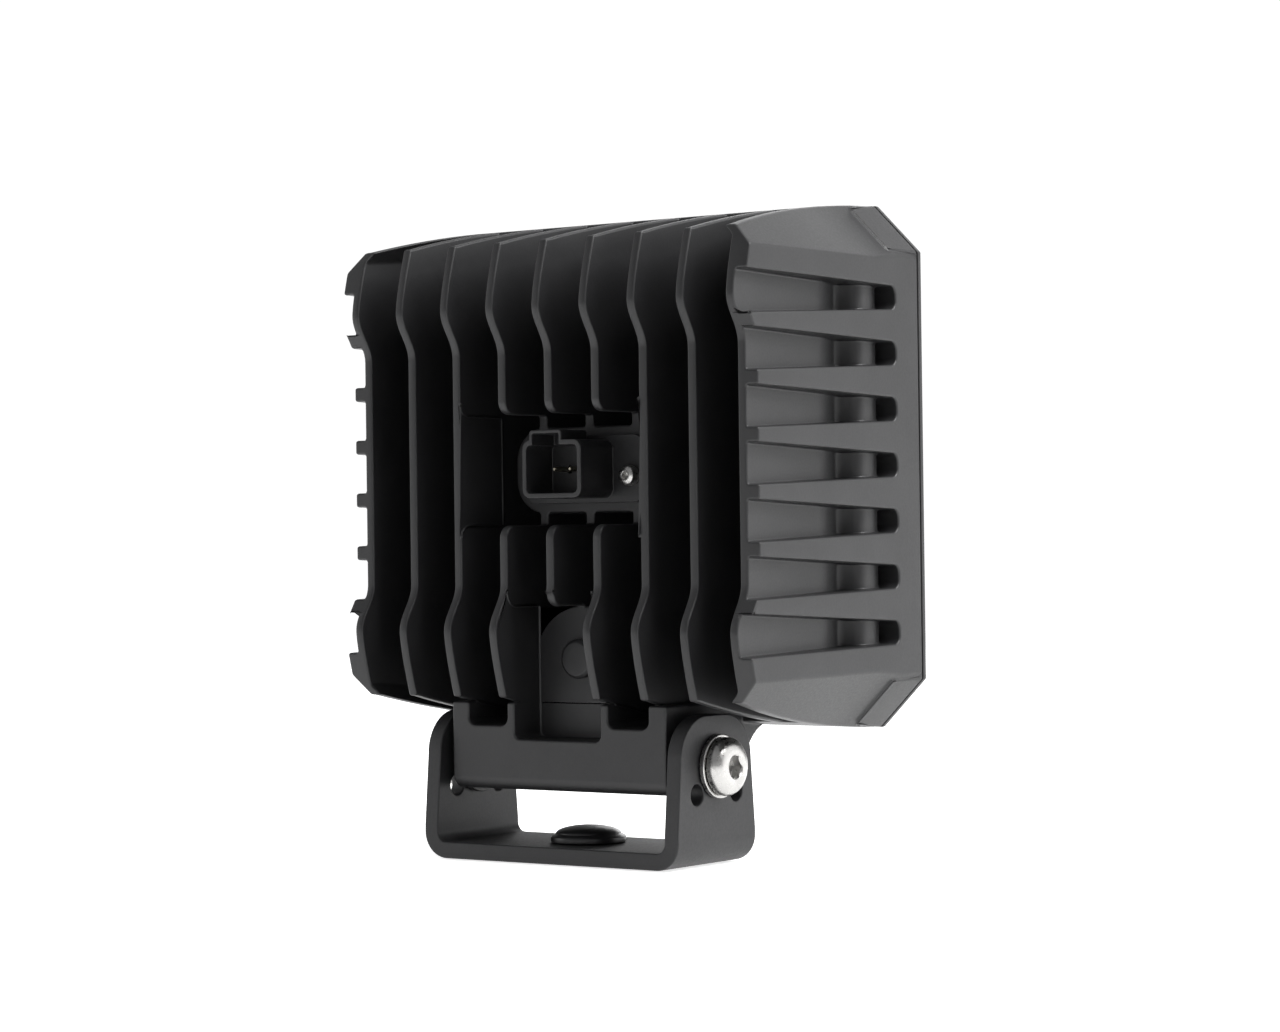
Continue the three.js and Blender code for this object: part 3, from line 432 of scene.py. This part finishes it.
def side_slots():
    out, middle, end = BULGE + 2, (SLOTS - 1) / 2, SLOT_LENGTH - SLOT_END_RADIUS
    slope = (SLOT_HEIGHT[1] - SLOT_HEIGHT[0]) / 2 / SLOT_LENGTH
    slots = bmesh.new()
    for n in range(SLOTS):
        def centre(d):
            return (n - middle) * (SLOT_PITCH[0] + (SLOT_PITCH[1] - SLOT_PITCH[0]) * d / SLOT_LENGTH)
        def half(d):
            return SLOT_HEIGHT[0] / 2 + slope * d
        r = SLOT_END_RADIUS
        outline = [(out, centre(-out) + half(-out)), (out, centre(-out) - half(-out))]
        outline += arc((-end, centre(end) - half(end) + r), r, 270, 180)
        outline += arc((-end, centre(end) + half(end) - r), r, 180, 90)
        slot = prism(outline, "x", -front_half - 5, front_half + 5)
        mesh = bpy.data.meshes.new("slot")
        slot.to_mesh(mesh)
        slots.from_mesh(mesh)
        bpy.data.meshes.remove(mesh)
    # The slot floors run level past the fins, dip, and swell before the rim.
    knots = [(0.0, 0.0), (0.54, 0.0), (0.59, -0.3), (0.63, -0.9), (0.67, -1.7), (0.71, -2.6), (0.74, -3.1),
             (0.76, -2.9), (0.775, -1.8), (0.79, 0.2), (0.805, 2.0), (0.825, 3.0), (0.85, 3.4), (0.89, 3.5),
             (0.92, 3.3), (0.95, 2.6), (0.98, 1.2), (1.0, 0.0), (1.2, 0.0)]
    floor_line = [(slot_floor + rise, -share * SLOT_LENGTH) for share, rise in knots]
    floor_line = [(slot_floor, out)] + floor_line
    core = prism(floor_line + [(-x, y) for x, y in reversed(floor_line)], "z",
                 -2 * front_half, 2 * front_half)
    return carved(slots, (CUT, core))

def pivot_block():
    low, top, r = pivot.z - BLOCK_BELOW, -half_height - 1.6, 4.0
    outline = [(-BLOCK_BACK, top)] + arc((-BLOCK_BACK - r, low + r), r, 0, -90)
    outline += [(pivot.y - 11.5, low), (pivot.y - 13.6, low + 0.5), (pivot.y - 15.6, low + 2.4),
                (-BLOCK_FRONT + 0.6, pivot.z + 4.4), (-BLOCK_FRONT - 1.4, pivot.z + 6.6),
                (-BLOCK_FRONT - 4, pivot.z + 8.6), (-BLOCK_FRONT - 8, pivot.z + 10.6),
                (-BLOCK_FRONT - 8, top)]
    inner, outer, high = fin_pitch - FIN_TIP / 2, 2 * fin_pitch - FIN_TIP / 2, -half_height + 8
    middle_cut = prism(rounded_rectangle(2 * inner, 60, 2.0, (0.0, pivot.z + 7.1 + 30)),
                       "y", -BOSS_DEPTH, BULGE)
    side_cuts = [prism(rounded_rectangle(outer - inner - FIN_TIP, 60, 2.5,
                                         (s * (outer + inner + FIN_TIP) / 2, pivot.z + 11.1 + 30)),
                       "y", -30.0, BULGE) for s in (-1, 1)]
    ceiling = block((-60, -60, high), (60, 20, 60))
    return carved(prism(outline, "x", -BLOCK_HALF, BLOCK_HALF),
                  *[(CUT, carved(cut, (CUT, ceiling.copy()))) for cut in (middle_cut, *side_cuts)])

def housing_solid():
    body = carved(prism(side_view(), "x", -front_half, front_half),
                  (KEEP, prism(plan_view(), "z", -2 * front_half, 2 * front_half)),
                  (KEEP, corner_trim()),
                  (CUT, fin_gaps()), (CUT, connector_pocket()), (CUT, lower_pocket()))
    rim = carved(four_sided([(rim_back, front_half - RIM_DRAFT), (HOUSING_DEPTH, front_half)], True),
                 (KEEP, four_sided([(rim_back, corner_sum - RIM_DRAFT), (HOUSING_DEPTH, corner_sum)], False)))
    chamber = slot_floor - CHAMBER_WALL
    lens_half, front = front_half - RIM_LAND, -HOUSING_DEPTH - 1
    pad = prism(rounded_rectangle(PAD_WIDTH, PAD_HEIGHT, 10), "y", -FIN_DEPTH - 1, -PAD_DEPTH)
    cuts = [side_slots(),
            prism(chamfered_square(chamber, 2 * chamber - 8), "y", front, -CHAMBER_BACK),
            prism(chamfered_square(lens_half, corner_sum - CORNER_LAND), "y", front, -LENS_LEDGE)]
    for side, lie in ((-1, "x"), (1, "-x")):
        hole = spun([(0.0, -1.0), (5.3, -1.0), (5.3, 18.0), (0.0, 18.0)])
        cuts.append(moved(hole, (side * BLOCK_HALF, pivot.y, pivot.z), lie))
    return carved(body, (JOIN, rim), (JOIN, pad), (JOIN, pivot_block()),
                  *[(CUT, cut) for cut in cuts])

cast_coat = finish("cast_powder_coat", (0.017, 0.017, 0.018), (0.024, 0.024, 0.025), (0.42, 0.52),
                   grain=(1500.0, 3.0), grain_height=4e-5)
piece(housing_solid(), "housing_casting", cast_coat, "lamp", ["housing"], LAMP, CAST_EDGE)
piece(vent_boss(), "vent_boss_casting", cast_coat, "lamp", None, LAMP, CAST_EDGE)


# ---- Front frame and its screws --------------------------------------------------------------
# A flat die-cast frame, coated like the housing, clamps the glass. Its outer edge is chamfered,
# and eight stainless countersunk screws with six-lobe sockets hold it to the rim.
FRAME_THICKNESS, FRAME_EDGE, FRAME_OVERLAP = 3.4, 1.6, 4.5
SCREW_HEAD, SCREW_SHANK, SCREW_SINK, SCREW_LENGTH = 3.9, 2.0, 2.2, 9.0

def socket(radius, depth, lobes=6, wave=0.12):
    """A socket with rounded lobes, or a plain hexagon when it has no wave."""
    if not wave:
        outline = [(radius * math.cos(math.radians(60 * i)), radius * math.sin(math.radians(60 * i)))
                   for i in range(6)]
    else:
        outline = [(radius * (1 + wave * math.cos(lobes * a)) * math.cos(a),
                    radius * (1 + wave * math.cos(lobes * a)) * math.sin(a))
                   for a in [2 * math.pi * i / 48 for i in range(48)]]
    return prism(outline, "y", -0.2, depth)

def middle_of(node):
    low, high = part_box(node)
    return (low + high) / 2

frame_back = HOUSING_DEPTH + 0.3
frame_front = frame_back + FRAME_THICKNESS
frame_inset = FRAME_THICKNESS - FRAME_EDGE
screw_names = [f"frame_screw_{i + 1}" for i in range(8)]
screw_places = [LAMP.inverted() @ middle_of(name) for name in screw_names]

def front_frame():
    square = four_sided([(frame_back, front_half), (frame_back + FRAME_EDGE, front_half),
                         (frame_front, front_half - frame_inset)], True)
    corners = four_sided([(frame_back, corner_sum), (frame_back + FRAME_EDGE, corner_sum),
                          (frame_front, corner_sum - frame_inset)], False)
    opening_half = front_half - RIM_LAND - FRAME_OVERLAP
    opening = prism(chamfered_square(opening_half, corner_sum - CORNER_LAND - 8), "y",
                    -frame_front - 1, -frame_back + 1)
    sinks = [moved(spun([(0, -1), (4.2, -1), (4.2, 1.2), (2.3, 3.4), (2.3, 6), (0, 6)], 32),
                   (place.x, -frame_front, place.z)) for place in screw_places]
    return carved(square, (KEEP, corners), (CUT, opening), *[(CUT, sink) for sink in sinks])

piece(front_frame(), "front_frame_casting", cast_coat, "lamp", ["front_frame"], LAMP, 0.3)

stainless = finish("stainless_steel", (0.40, 0.395, 0.385), (0.50, 0.495, 0.48), (0.24, 0.36),
                   patch=(90.0, 3.0), grain=(900.0, 4.0), grain_height=6e-6, Metallic=1.0)
for name, place in zip(screw_names, screw_places):
    screw = spun([(0, 0), (SCREW_HEAD - 0.2, 0), (SCREW_HEAD, 0.15), (SCREW_HEAD, 0.35),
                  (SCREW_SHANK, 0.35 + SCREW_SINK), (SCREW_SHANK, SCREW_LENGTH), (0, SCREW_LENGTH)], 32)
    screw = moved(carved(screw, (CUT, socket(1.55, 1.5))), (place.x, -frame_front + 0.7, place.z))
    piece(screw, name + "_head", stainless, "lamp", [name], LAMP, 0.12)


# ---- Glass and its gasket ---------------------------------------------------------------------
# A 4 mm toughened glass pane with ground edges lies on a flat silicone gasket in the rim's step.
clear_glass = finish("clear_glass", (0.97, 0.985, 0.98), (0.98, 0.99, 0.985), (0.0, 0.015),
                     patch=(20.0, 2.0), grain=(60.0, 1.0), grain_height=2e-6,
                     Transmission_Weight=1.0, IOR=1.47)
silicone = finish("silicone_seal", (0.018, 0.018, 0.018), (0.03, 0.03, 0.03), (0.7, 0.85),
                  grain=(2200.0, 2.0), grain_height=3e-5)
pane_low, pane_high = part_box("lens")
pane_half = (pane_high.x - pane_low.x) / 2 / MM
pane = prism(chamfered_square(pane_half, corner_sum - CORNER_LAND - 0.3), "y",
             (LAMP.inverted() @ pane_low).y, (LAMP.inverted() @ pane_high).y)
piece(pane, "glass_pane", clear_glass, "lamp", ["lens"], LAMP, 0.4)
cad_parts["lens_gasket"].data.materials.clear()
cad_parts["lens_gasket"].data.materials.append(silicone)


# ---- Reflectors, emitters and their board ----------------------------------------------------
# Nine bright parabolic bowls are moulded in one aluminised sheet in front of the LED board. Each
# emitter is a white ceramic base with a yellow phosphor dome in the throat of its bowl; base and dome
# are drawn as one piece in the yellow phosphor finish.
BOWL_WALL, BOWL_THROAT = 1.1, 4.2
reflect_low, reflect_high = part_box("reflector_array")
bowl_back = -(LAMP.inverted() @ reflect_high).y
bowl_front = -(LAMP.inverted() @ reflect_low).y
emitter_names = [f"led_emitter_{i + 1}" for i in range(9)]
emitter_places = [LAMP.inverted() @ middle_of(name) for name in emitter_names]
cell = (LAMP.inverted() @ middle_of("led_emitter_2")).x - (LAMP.inverted() @ middle_of("led_emitter_1")).x

def bowl_line(grow):
    mouth = cell / 2 - 1
    return [(BOWL_THROAT + (mouth - BOWL_THROAT) * math.sqrt(i / 12) + grow,
             (bowl_front - bowl_back) * i / 12) for i in range(13)]

def reflector():
    sheet_half = (reflect_high.x - reflect_low.x) / 2 / MM
    sheet = prism(chamfered_square(sheet_half, 2 * sheet_half - 9), "y", -bowl_front, -bowl_front + 1.5)
    parts = []
    for place in emitter_places:
        outer = bowl_line(BOWL_WALL)
        wall = spun([(0, 0), *outer, (0, outer[-1][1])], 40)
        parts.append((JOIN, moved(wall, (place.x, -bowl_back, place.z), "-y")))
    for place in emitter_places:
        inner = bowl_line(0.0)
        hollow = spun([(0, -1), (inner[0][0], -1), *inner, (inner[-1][0], inner[-1][1] + 1),
                       (0, inner[-1][1] + 1)], 40)
        parts.append((CUT, moved(hollow, (place.x, -bowl_back, place.z), "-y")))
    return carved(sheet, *parts)

aluminised = finish("aluminised_reflector", (0.86, 0.86, 0.87), (0.92, 0.92, 0.93), (0.07, 0.14),
                    patch=(30.0, 3.0), grain=(500.0, 2.0), grain_height=4e-6, Metallic=1.0)
piece(reflector(), "reflector_sheet", aluminised, "lamp", ["reflector_array"], LAMP)

phosphor = finish("phosphor_dome", (0.78, 0.52, 0.05), (0.86, 0.62, 0.09), (0.12, 0.2),
                  patch=(600.0, 2.0), Coat_Weight=0.6)
for name, place in zip(emitter_names, emitter_places):
    dome = spun([(0, 0), (2.5, 0)] + [(2.5 * math.cos(math.radians(a)), 2.1 * math.sin(math.radians(a)))
                                      for a in (15, 30, 45, 60, 75)] + [(0, 2.1)], 32)
    base = prism(rounded_rectangle(6, 6, 0.4, steps=3), "y", -0.9, 0)
    dome = moved(dome, (0, -0.8, 0), "-y")
    whole = moved(carved(base, (JOIN, dome)), (place.x, -(bowl_back - 1.4), place.z))
    piece(whole, name + "_dome", phosphor, "lamp", [name], LAMP, 0.1)

def paint(material, *nodes):
    for node in nodes:
        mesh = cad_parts[node].data
        mesh.materials.clear()
        mesh.materials.append(material)

paint(finish("white_mask", (0.74, 0.74, 0.72), (0.80, 0.80, 0.78), (0.35, 0.5), grain=(1200.0, 2.0)),
      "led_board")
paint(finish("grey_thermal_pad", (0.26, 0.28, 0.31), (0.32, 0.34, 0.38), (0.8, 0.95), grain=(900.0, 3.0)),
      "thermal_pad")
paint(stainless, *[f"board_screw_{i + 1}" for i in range(4)])


# ---- Driver ------------------------------------------------------------------------------------
# The driver board, its choke and two capacitors sit in a bay behind the LED board, wired to the
# connector's contacts by two short leads.
paint(finish("green_mask", (0.012, 0.12, 0.04), (0.02, 0.17, 0.06), (0.3, 0.45), grain=(1500.0, 2.0)),
      "driver_board")
paint(finish("ferrite_choke", (0.02, 0.02, 0.02), (0.04, 0.038, 0.036), (0.7, 0.9), grain=(1500.0, 3.0)),
      "driver_inductor")
paint(finish("capacitor_can", (0.6, 0.6, 0.62), (0.7, 0.7, 0.72), (0.2, 0.35), Metallic=1.0),
      "driver_capacitor_1", "driver_capacitor_2")
paint(finish("red_insulation", (0.36, 0.015, 0.015), (0.45, 0.03, 0.02), (0.35, 0.5)),
      "supply_lead_positive")
paint(finish("black_insulation", (0.012, 0.012, 0.012), (0.022, 0.022, 0.022), (0.35, 0.5)),
      "supply_lead_negative")


# ---- Connector ----------------------------------------------------------------------------------
# A two-pin sealed receptacle in glass-filled black nylon, open to the back, with a key channel on
# top. Two small stainless screws hold its flange and a rubber seal to the pad in the middle pocket.
SHELL_WIDTH, SHELL_HEIGHT, SHELL_WALL, SHELL_RADIUS = 22.0, 17.4, 1.5, 2.8
MOUTH_DEPTH, SOCKET_DEPTH = 1.5, 13.0
KEY_WIDTH, KEY_HEIGHT, KEY_OFFSET = 12.0, 3.0, 2.2
FLANGE_WIDTH, FLANGE_THICKNESS = 45.0, 1.6
flange_front = -(LAMP.inverted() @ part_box("connector_shell")[0]).y
flange_back = flange_front - FLANGE_THICKNESS

def connector():
    socket_back = -MOUTH_DEPTH - SOCKET_DEPTH
    key_top = SHELL_HEIGHT / 2 + KEY_HEIGHT / 2
    tube = prism(rounded_rectangle(SHELL_WIDTH, SHELL_HEIGHT, SHELL_RADIUS), "y",
                 -flange_front, -MOUTH_DEPTH)
    key = prism(rounded_rectangle(KEY_WIDTH, KEY_HEIGHT + 4, 1.0, (KEY_OFFSET, key_top - 2)),
                "y", socket_back, -MOUTH_DEPTH)
    flange = prism(rounded_rectangle(FLANGE_WIDTH, SHELL_HEIGHT + 3, 4.0), "y",
                   -flange_front, -flange_back)
    hollow = prism(rounded_rectangle(SHELL_WIDTH - 2 * SHELL_WALL, SHELL_HEIGHT - 2 * SHELL_WALL,
                                     SHELL_RADIUS - 1.2), "y", socket_back, 0)
    key_way = prism(rounded_rectangle(KEY_WIDTH - 2, KEY_HEIGHT + 4, 0.5, (KEY_OFFSET, key_top - 3)),
                    "y", socket_back + 2, 0)
    holes = []
    for name in ("contact_pin_1", "contact_pin_2"):
        place = LAMP.inverted() @ middle_of(name)
        holes.append((CUT, moved(spun([(0, 0), (1.1, 0), (1.1, 30), (0, 30)], 24), (place.x, -25, place.z))))
    for name in ("connector_screw_1", "connector_screw_2"):
        place = LAMP.inverted() @ middle_of(name)
        holes.append((CUT, moved(spun([(0, 0), (2.0, 0), (2.0, 10), (0, 10)], 24), (place.x, -22, place.z))))
    return carved(tube, (JOIN, key), (JOIN, flange), (CUT, hollow), (CUT, key_way), *holes)

nylon = finish("glass_filled_nylon", (0.010, 0.010, 0.011), (0.017, 0.017, 0.018), (0.40, 0.55),
               patch=(120.0, 4.0), grain=(2600.0, 3.0), grain_height=3e-5)
piece(connector(), "connector_receptacle", nylon, "lamp", ["connector_shell"], LAMP, 0.3)
paint(silicone, "connector_seal")
# The contacts are tinned brass. Their colour is darkened to paint the shade they stand in deep inside the
# socket.
paint(finish("tinned_brass_painted_shade", (0.30, 0.28, 0.22), (0.38, 0.35, 0.28), (0.3, 0.45), Metallic=1.0),
      "contact_pin_1", "contact_pin_2")

def pan_head_screw(head, head_height, shank, length):
    turned = spun([(0, 0), (head * 0.55, 0), (head * 0.85, head_height * 0.18), (head, head_height * 0.5),
                   (head, head_height), (shank, head_height), (shank, head_height + length),
                   (0, head_height + length)], 36)
    return carved(turned, (CUT, socket(head * 0.42, head_height * 0.6, wave=0)))

for name in ("connector_screw_1", "connector_screw_2"):
    low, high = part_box(name)
    place = LAMP.inverted() @ Vector(((low.x + high.x) / 2, high.y, (low.z + high.z) / 2))
    screw = moved(pan_head_screw(3.1, 3.2, 1.7, 7.0), tuple(place), "-y")
    piece(screw, name + "_head", stainless, "lamp", [name], LAMP, 0.15)


# ---- Breather vent -----------------------------------------------------------------------------
# A press-in plastic vent that lets the chamber breathe through a membrane, on the boss between the
# two short fins. Four small gaps under its cap leave the air a way out.
vent_low, vent_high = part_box("breather_vent")
vent_middle = (vent_low + vent_high) / 2
vent_top = LAMP.inverted() @ Vector((vent_middle.x, vent_high.y, vent_middle.z))
vent = spun([(0, 0.2), (3.0, 0), (5.0, 0.1), (5.9, 0.9), (6.0, 1.5), (6.0, 3.0), (2.7, 3.0), (2.7, 11.0),
             (1.2, 11.0), (1.2, 5.0), (0, 5.0)], 48)
air_gaps = []
for i in range(4):
    air_gap = block((-0.7, 1.6, 3.4), (0.7, 3.4, 6.6))
    turn = Matrix.Rotation(math.radians(90 * i + 45), 3, "Y")
    bmesh.ops.rotate(air_gap, verts=air_gap.verts, matrix=turn)
    air_gaps.append((CUT, air_gap))
vent = carved(vent, *air_gaps)
piece(moved(vent, tuple(vent_top), "-y"), "breather_vent_cap", nylon, "lamp",
      ["breather_vent"], LAMP, 0.2)


# ---- Bracket -----------------------------------------------------------------------------------
# A U of 5 mm steel plate, laser cut with rounded ears and bent, then coated black. The lamp
# tilts between its ears, and one hole in its base takes the vehicle's bolt.
PLATE, EAR_INNER, BEND_INNER = 5.0, 42.4, 3.0
BASE_HALF, EAR_HALF, EAR_TOP, EAR_RADIUS = 20.0, 18.1, 15.1, 13.0
MOUNTING_HOLE, SIDE_HOLE, SIDE_HOLE_REACH, SIDE_HOLE_DROP = 5.5, 3.15, 10.05, 7.8
axis_height = pivot_z / MM
ear_outer = EAR_INNER + PLATE
bend_outer = BEND_INNER + PLATE

def bracket():
    top, high = axis_height + EAR_TOP, axis_height + EAR_TOP + 5
    bent = [(-ear_outer, high)] + arc((-ear_outer + bend_outer, bend_outer), bend_outer, 180, 270, 12)
    bent += arc((ear_outer - bend_outer, bend_outer), bend_outer, 270, 360, 12)
    bent += [(ear_outer, high), (EAR_INNER, high)]
    bent += arc((EAR_INNER - BEND_INNER, PLATE + BEND_INNER), BEND_INNER, 360, 270, 8)
    bent += arc((-EAR_INNER + BEND_INNER, PLATE + BEND_INNER), BEND_INNER, 270, 180, 8)
    bent += [(-EAR_INNER, high)]
    ear = [(-BASE_HALF, -1.0), (BASE_HALF, -1.0), (BASE_HALF, bend_outer + 2)]
    ear += arc((EAR_HALF - EAR_RADIUS, top - EAR_RADIUS), EAR_RADIUS, 0, 90, 16)
    ear += arc((-EAR_HALF + EAR_RADIUS, top - EAR_RADIUS), EAR_RADIUS, 90, 180, 16)
    ear += [(-BASE_HALF, bend_outer + 2)]
    long = 2 * ear_outer + 4
    holes = [(5.3, 0.0, axis_height, 48)]
    holes += [(SIDE_HOLE, side * SIDE_HOLE_REACH, axis_height - SIDE_HOLE_DROP, 40) for side in (-1, 1)]
    cuts = [(CUT, moved(spun([(0, 0), (r, 0), (r, long), (0, long)], sides), (-ear_outer - 2, y, z), "x"))
            for r, y, z, sides in holes]
    cuts.append((CUT, moved(spun([(0, 0), (MOUNTING_HOLE, 0), (MOUNTING_HOLE, 9), (0, 9)]), (0, 0, -2), "z")))
    return carved(prism(bent, "y", -BASE_HALF, BASE_HALF),
                  (KEEP, prism(ear, "x", -ear_outer - 1, ear_outer + 1)), *cuts)

steel_coat = finish("bracket_powder_coat", (0.012, 0.012, 0.013), (0.018, 0.018, 0.019), (0.46, 0.56),
                    patch=(60.0, 5.0), grain=(1300.0, 3.0), grain_height=4e-5)
piece(bracket(), "bent_bracket", steel_coat, "bracket", ["u_bracket"], edge=0.45)


# ---- Pivot fasteners -----------------------------------------------------------------------------
# An M10 stainless button-head screw with a hexagon socket goes through a flat washer and each ear
# into the pivot block. A nylon washer between the ear and the block keeps the tilt smooth.
HEAD_RADIUS, HEAD_HEIGHT, HEAD_RIM = 8.6, 4.7, 1.3
HEX_ACROSS, BOLT_RADIUS, BOLT_LENGTH = 6.0, 5.0, 24.0

def button_head_bolt():
    flat = 4.7
    rise = HEAD_HEIGHT - HEAD_RIM
    dome = []
    for step in range(0, 91, 9):
        a = math.radians(step)
        dome.append((flat + (HEAD_RADIUS - flat) * math.sin(a), rise * (1 - math.cos(a))))
    turned = spun([(0, 0), *dome, (HEAD_RADIUS, HEAD_HEIGHT - 0.2), (HEAD_RADIUS - 0.2, HEAD_HEIGHT),
                   (BOLT_RADIUS, HEAD_HEIGHT), (BOLT_RADIUS, HEAD_HEIGHT + BOLT_LENGTH),
                   (0, HEAD_HEIGHT + BOLT_LENGTH)], 64)
    corner = HEX_ACROSS / math.sqrt(3)
    mouth = spun([(0, -0.1), (corner + 0.35, -0.1), (corner - 0.5, 0.75), (0, 0.75)], 48)
    return carved(turned, (CUT, socket(corner, 3.2, wave=0)), (CUT, mouth))

nylon_washer = finish("nylon_washer", (0.014, 0.014, 0.014), (0.02, 0.02, 0.02), (0.4, 0.55))
for side, name in ((-1, "left"), (1, "right")):
    lie = "x" if side < 0 else "-x"
    flat_washer = spun([(5.3, 0.1), (5.4, 0), (9.2, 0), (9.4, 0.2), (9.4, 1.4), (9.2, 1.6),
                        (5.4, 1.6), (5.3, 1.5)], 64)
    friction_washer = spun([(5.3, 0), (10.3, 0), (10.5, 0.2), (10.5, 1.6), (10.3, 1.8), (5.3, 1.8)], 64)
    for node, made, material, slot in (
        ("pivot_bolt_", button_head_bolt(), stainless, "stainless"),
        ("pivot_washer_", flat_washer, stainless, "stainless"),
        ("friction_washer_", friction_washer, nylon_washer, "washer_nylon"),
    ):
        low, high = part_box(node + name)
        outer_face = (low.x if side < 0 else high.x) / MM
        part = moved(made, (outer_face, pivot_y / MM, pivot_z / MM), lie)
        piece(part, node + name + "_turned", material, "lamp", [node + name], edge=0.12)


# ---- Mounting hole cap ---------------------------------------------------------------------------
# A glossy black plastic cap pressed into the mounting hole until the light is bolted on.
cap_low, cap_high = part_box("mounting_hole_cap")
cap_radius = (cap_high.x - cap_low.x) / 2 / MM
cap_top = cap_high.z / MM
cap_seat = PLATE + 0.3
CAP_DOME_RADIUS, CAP_SKIRT = 9.9, 2.5
dome_rise = cap_top - cap_seat - CAP_SKIRT
dome = []
for step in range(0, 91, 9):
    a = math.radians(step)
    dome.append((CAP_DOME_RADIUS * math.sin(a), cap_seat + CAP_SKIRT + dome_rise * math.cos(a)))
cap_bottom = cap_low.z / MM
cap = spun([(0.0, dome[0][1]), *dome[1:], (cap_radius - 0.5, cap_seat + 2.0), (cap_radius, cap_seat + 1.5),
            (cap_radius, cap_seat), (5.2, cap_seat), (5.2, cap_bottom), (4.0, cap_bottom), (4.0, 7.5),
            (0.0, 7.5)], 72)
gloss_black = finish("gloss_black_plastic", (0.012, 0.012, 0.013), (0.018, 0.018, 0.019), (0.28, 0.36),
                     patch=(80.0, 3.0), grain=(300.0, 2.0), grain_height=4e-6)
cap = moved(cap, lie="z")
piece(cap, "hole_cap", gloss_black, "bracket", ["mounting_hole_cap"], edge=0.25)
